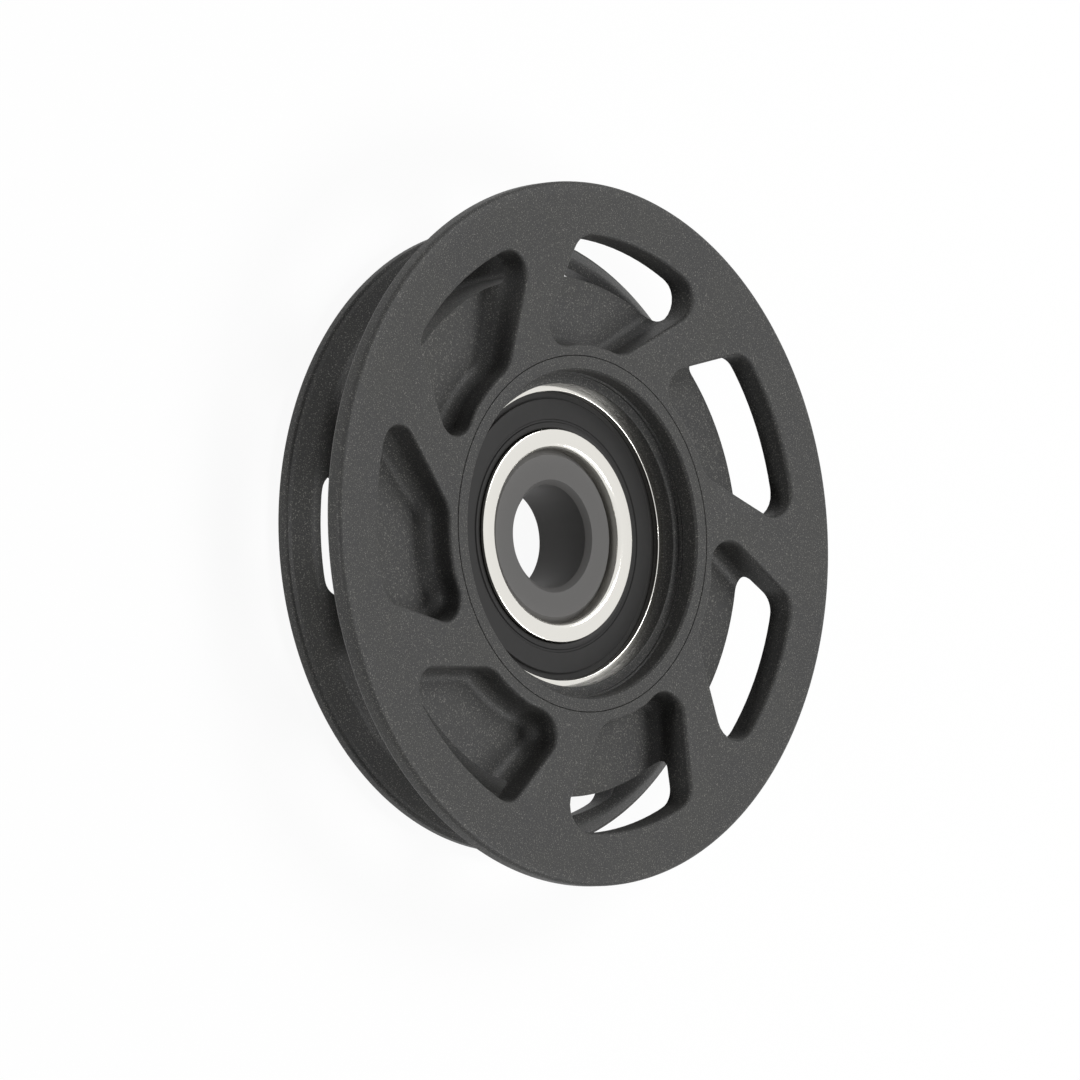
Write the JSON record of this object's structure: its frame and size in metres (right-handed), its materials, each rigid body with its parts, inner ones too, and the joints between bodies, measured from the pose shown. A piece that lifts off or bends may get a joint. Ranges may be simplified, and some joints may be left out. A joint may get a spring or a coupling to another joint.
{
  "type": "chain guide roller",
  "caption": "Black nylon chain guide roller with two windowed flanges of unlike size round a narrow groove, turning on a sealed thin-section bearing and a plain axle sleeve.",
  "frame": {"origin": "centre of the bounding box's base: the roller's axis at the sleeve's rear end", "axes": "+Z along the roller's axis, from the smaller rear flange towards the larger front flange"},
  "size_m": [0.068, 0.068, 0.0124],
  "materials": {
    "nylon": "black glass-filled nylon with a fine spark-eroded grain",
    "bearing_steel": "ground and polished bearing steel",
    "ball_steel": "polished balls",
    "cage_nylon": "moulded cage",
    "seal_rubber": "moulded black rubber",
    "sleeve_aluminium": "matt grey anodised"
  },
  "bodies": {
    "axle": {"axle_sleeve": "sleeve_aluminium", "bearing_inner_ring": "bearing_steel"},
    "roller": {"front_half": "nylon", "rear_half": "nylon", "hub_barrel": "nylon", "bearing_outer_ring": "bearing_steel", "front_seal": "seal_rubber", "rear_seal": "seal_rubber"},
    "ball_set": {"ball_cage": "cage_nylon", "ball_01": "ball_steel", "ball_02": "ball_steel", "ball_03": "ball_steel", "ball_04": "ball_steel", "ball_05": "ball_steel", "ball_06": "ball_steel", "ball_07": "ball_steel", "ball_08": "ball_steel", "ball_09": "ball_steel", "ball_10": "ball_steel", "ball_11": "ball_steel", "ball_12": "ball_steel"}
  },
  "joints": [
    {"name": "roller_spin", "type": "hinge", "parent": "axle", "child": "roller", "pos_m": [0, 0, 0.0045], "axis": [0, 0, 1], "continuous": true},
    {"name": "ball_orbit", "type": "hinge", "parent": "axle", "child": "ball_set", "pos_m": [0, 0, 0.0045], "axis": [0, 0, 1], "continuous": true}
  ],
  "couplings": [
    {"joint": "ball_orbit", "follows": "roller_spin", "ratio": 0.5745}
  ]
}
